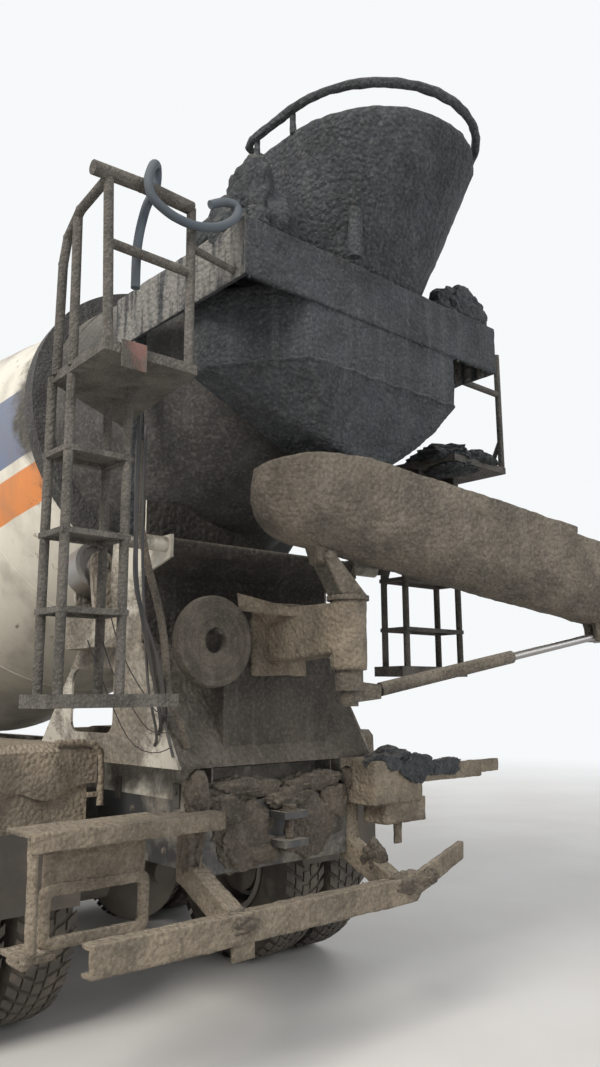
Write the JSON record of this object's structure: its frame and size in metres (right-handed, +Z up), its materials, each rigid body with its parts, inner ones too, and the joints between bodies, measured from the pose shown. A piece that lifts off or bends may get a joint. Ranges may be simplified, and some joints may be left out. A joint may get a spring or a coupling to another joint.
{
  "type": "concrete mixer truck",
  "caption": "Forward-control truck with a tilted mixing drum, charging hopper, collector and a swinging discharge chute at the rear.",
  "frame": {"origin": "on the ground, under the middle of the whole truck's box", "axes": "+X forward, +Y to the truck's left, +Z up"},
  "size_m": [9.2025, 3.4282, 3.955],
  "materials": {
    "cream_paint": "weathered cream paint with dried cement",
    "crusted_paint": "paint under a crust of dried cement",
    "dark_crust": "dark blue-grey paint under gritty cement",
    "frame_steel": "dusty dark paint",
    "axle_iron": "dusty",
    "engine_iron": "dull",
    "gearbox_iron": "dull paint",
    "spring_steel": "dusty black",
    "tank_aluminium": "dusty",
    "ladder_steel": "worn paint with dried cement",
    "hose": "faded blue-grey",
    "tyre": "dusty",
    "rim_steel": "dusty grey paint",
    "roller_steel": "worn",
    "rod_steel": "greased",
    "window_glass": "clear",
    "cab_trim": "dull"
  },
  "bodies": {
    "chassis": {"chassis_frame": "frame_steel", "subframe": "cream_paint", "front_axle": "axle_iron", "leaf_springs": "spring_steel", "rear_axles": "axle_iron", "engine": "engine_iron", "driveline": "axle_iron", "fuel_tank": "tank_aluminium", "side_equipment": "frame_steel", "front_bumper": "cream_paint", "cab_steps": "frame_steel", "front_pedestal": "cream_paint", "drum_gearbox": "gearbox_iron", "rear_pedestal": "cream_paint", "rear_fenders": "crusted_paint", "water_tank": "cream_paint", "ladder_left": "ladder_steel", "ladder_right": "ladder_steel", "hopper_frame": "dark_crust", "charging_hopper": "dark_crust", "hopper_ring": "dark_crust", "collector": "dark_crust", "chute_arm": "crusted_paint", "lamp_brackets": "crusted_paint", "underrun_bar": "crusted_paint", "hose_coil": "hose", "feed_hose": "hose", "handrail_hose": "hose"},
    "cab": {"cab_shell": "cream_paint", "cab_glass": "window_glass", "cab_interior": "cab_trim"},
    "door_left": {"door_left": "cream_paint", "door_glass_left": "window_glass"},
    "door_right": {"door_right": "cream_paint", "door_glass_right": "window_glass"},
    "steer_left": {"knuckle_left": "axle_iron"},
    "steer_right": {"knuckle_right": "axle_iron"},
    "front_wheel_left": {"front_tyre_left": "tyre", "front_rim_left": "rim_steel"},
    "front_wheel_right": {"front_tyre_right": "tyre", "front_rim_right": "rim_steel"},
    "rear1_wheel_left": {"rear1_tyres_left": "tyre", "rear1_rims_left": "rim_steel"},
    "rear1_wheel_right": {"rear1_tyres_right": "tyre", "rear1_rims_right": "rim_steel"},
    "rear2_wheel_left": {"rear2_tyres_left": "tyre", "rear2_rims_left": "rim_steel"},
    "rear2_wheel_right": {"rear2_tyres_right": "tyre", "rear2_rims_right": "rim_steel"},
    "drum": {"drum": "cream_paint", "drum_track": "roller_steel"},
    "roller_left": {"roller_left": "roller_steel"},
    "roller_right": {"roller_right": "roller_steel"},
    "chute_swivel": {"chute_swivel": "crusted_paint"},
    "chute": {"chute": "crusted_paint"},
    "strut_barrel": {"strut_barrel": "crusted_paint"},
    "strut_rod": {"strut_rod": "rod_steel"}
  },
  "joints": [
    {"name": "cab_tilt", "type": "hinge", "parent": "chassis", "child": "cab", "pos_m": [4.4, 0.28406, 1.03], "axis": [0, 1, 0], "range_deg": [0, 45]},
    {"name": "door_left_hinge", "type": "hinge", "parent": "cab", "child": "door_left", "pos_m": [4.1555, 1.49606, 1.5], "axis": [0, 0, 1], "range_deg": [-70, 0]},
    {"name": "door_right_hinge", "type": "hinge", "parent": "cab", "child": "door_right", "pos_m": [4.1555, -0.92794, 1.5], "axis": [0, 0, 1], "range_deg": [0, 70]},
    {"name": "steer_left_turn", "type": "hinge", "parent": "chassis", "child": "steer_left", "pos_m": [3.1, 1.14406, 0.545], "axis": [0, 0, 1], "range_deg": [-35, 35]},
    {"name": "front_wheel_left_spin", "type": "hinge", "parent": "steer_left", "child": "front_wheel_left", "pos_m": [3.1, 1.30406, 0.545], "axis": [0, 1, 0], "continuous": true},
    {"name": "rear1_wheel_left_spin", "type": "hinge", "parent": "chassis", "child": "rear1_wheel_left", "pos_m": [-0.9, 1.21406, 0.545], "axis": [0, 1, 0], "continuous": true},
    {"name": "rear2_wheel_left_spin", "type": "hinge", "parent": "chassis", "child": "rear2_wheel_left", "pos_m": [-2.25, 1.21406, 0.545], "axis": [0, 1, 0], "continuous": true},
    {"name": "steer_right_turn", "type": "hinge", "parent": "chassis", "child": "steer_right", "pos_m": [3.1, -0.57594, 0.545], "axis": [0, 0, 1], "range_deg": [-35, 35]},
    {"name": "front_wheel_right_spin", "type": "hinge", "parent": "steer_right", "child": "front_wheel_right", "pos_m": [3.1, -0.73594, 0.545], "axis": [0, 1, 0], "continuous": true},
    {"name": "rear1_wheel_right_spin", "type": "hinge", "parent": "chassis", "child": "rear1_wheel_right", "pos_m": [-0.9, -0.64594, 0.545], "axis": [0, 1, 0], "continuous": true},
    {"name": "rear2_wheel_right_spin", "type": "hinge", "parent": "chassis", "child": "rear2_wheel_right", "pos_m": [-2.25, -0.64594, 0.545], "axis": [0, 1, 0], "continuous": true},
    {"name": "drum_spin", "type": "hinge", "parent": "chassis", "child": "drum", "pos_m": [-3.625, 0.28406, 3.15], "axis": [0.9781, 0, -0.2079], "continuous": true},
    {"name": "roller_left_spin", "type": "hinge", "parent": "chassis", "child": "roller_left", "pos_m": [-2.77125, 0.88966, 2.11638], "axis": [0.9781, 0, -0.2079], "continuous": true},
    {"name": "roller_right_spin", "type": "hinge", "parent": "chassis", "child": "roller_right", "pos_m": [-2.77125, -0.32153, 2.11638], "axis": [0.9781, 0, -0.2079], "continuous": true},
    {"name": "chute_swing", "type": "hinge", "parent": "chassis", "child": "chute_swivel", "pos_m": [-3.915, 0.28406, 1.9], "axis": [0, 0, 1], "range_deg": [-136, 8]},
    {"name": "chute_tilt", "type": "hinge", "parent": "chute_swivel", "child": "chute", "pos_m": [-3.88476, 0.40535, 2.085], "axis": [0.9703, -0.2419, 0], "range_deg": [-8, 15]},
    {"name": "strut_tilt", "type": "hinge", "parent": "chute_swivel", "child": "strut_barrel", "pos_m": [-3.9404, 0.18218, 1.52], "axis": [0.9703, -0.2419, 0], "range_deg": [-9.42, 17.23]},
    {"name": "strut_slide", "type": "slide", "parent": "strut_barrel", "child": "strut_rod", "axis": [-0.2372, -0.9512, 0.1975], "range_m": [-0.1565, 0.0844]}
  ],
  "couplings": [
    {"joint": "steer_right_turn", "follows": "steer_left_turn", "ratio": 1},
    {"joint": "roller_left_spin", "follows": "drum_spin", "ratio": -7.24},
    {"joint": "roller_right_spin", "follows": "drum_spin", "ratio": -7.24},
    {"joint": "strut_tilt", "follows": "chute_tilt", "ratio": 1.115},
    {"joint": "strut_slide", "follows": "chute_tilt", "m_per_rad": -0.59}
  ]
}
